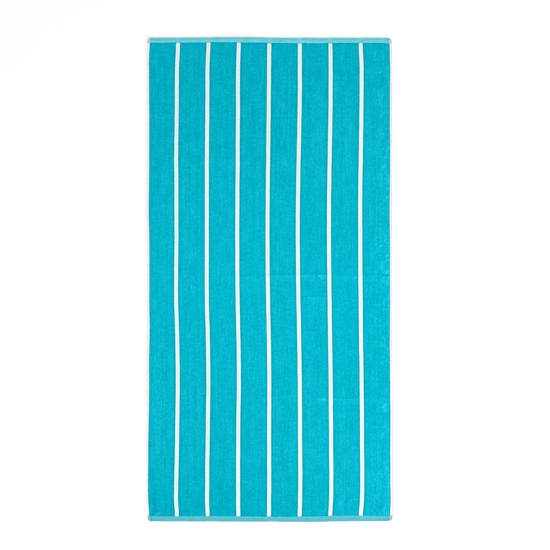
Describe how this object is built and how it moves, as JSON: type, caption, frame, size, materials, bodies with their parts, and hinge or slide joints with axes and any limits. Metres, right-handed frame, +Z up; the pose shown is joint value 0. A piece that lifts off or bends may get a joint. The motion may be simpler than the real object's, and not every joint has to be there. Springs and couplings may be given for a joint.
{
  "type": "beach towel",
  "caption": "Rectangular terry velour beach towel lying flat, teal with narrow lengthwise white stripes, flat white side bands and turned end hems.",
  "frame": {"origin": "middle of the towel's bounding box, on the surface it lies on", "axes": "+Z up, away from the surface; +Y along the towel's length, towards the top of the picture; +X across its width, towards the right of the picture"},
  "size_m": [0.7638, 1.5024, 0.0053],
  "materials": {
    "towel": "sheared cotton terry velour, teal with white stripes",
    "hem": "flat woven cotton hem, light blue-green",
    "side_band": "flat woven white cotton ground",
    "sewing_thread": "spun polyester sewing thread"
  },
  "bodies": {
    "root": {"towel": "towel"}
  },
  "joints": []
}
